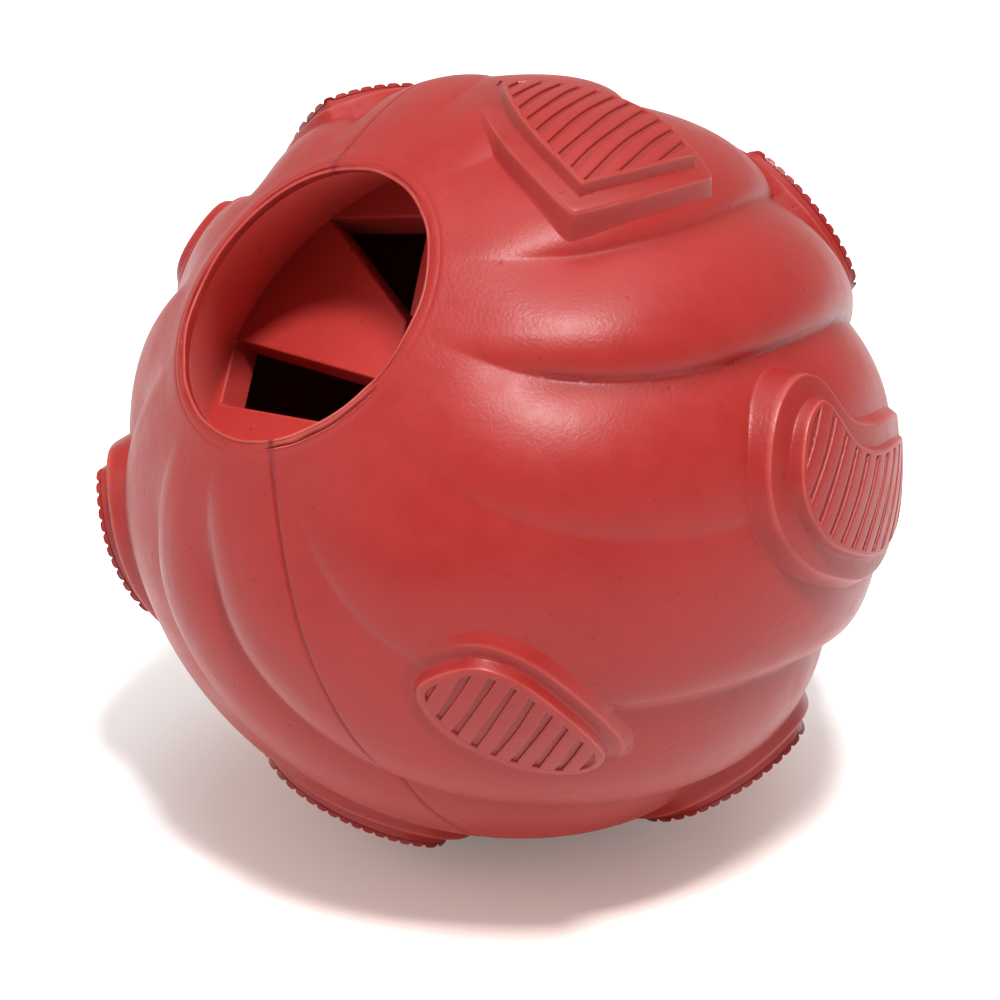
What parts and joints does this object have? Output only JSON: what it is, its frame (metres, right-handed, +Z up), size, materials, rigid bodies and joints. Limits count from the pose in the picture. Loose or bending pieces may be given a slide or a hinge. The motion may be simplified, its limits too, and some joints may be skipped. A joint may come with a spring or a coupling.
{
  "type": "treat dispensing ball",
  "caption": "Thick rubber dog ball with swirled lobes and raised ribbed treads; a wide mouth leads past a slotted divider into a hollow that holds treats.",
  "frame": {"origin": "on the floor, under the ball's centre, on the flat that the ball's weight presses on the foot tread", "axes": "+Z up; the ball stands as in the picture seen along +Y, so its mouth faces up, left (-X) and forward (-Y)"},
  "size_m": [0.1001, 0.0998, 0.0977],
  "materials": {
    "red_rubber": "satin",
    "divider_rubber": "matte"
  },
  "bodies": {
    "root": {"left_shell": "red_rubber", "right_shell": "red_rubber", "mouth_lip": "red_rubber", "left_divider": "divider_rubber", "right_divider": "divider_rubber", "upper_front_tread": "red_rubber", "right_tread": "red_rubber", "front_tread": "red_rubber", "left_tread": "red_rubber", "lower_left_tread": "red_rubber", "lower_right_tread": "red_rubber", "upper_right_tread": "red_rubber", "top_rear_tread": "red_rubber", "upper_left_tread": "red_rubber", "foot_tread": "red_rubber", "lower_rear_tread": "red_rubber", "rear_tread": "red_rubber", "right_rear_tread": "red_rubber"}
  },
  "joints": []
}
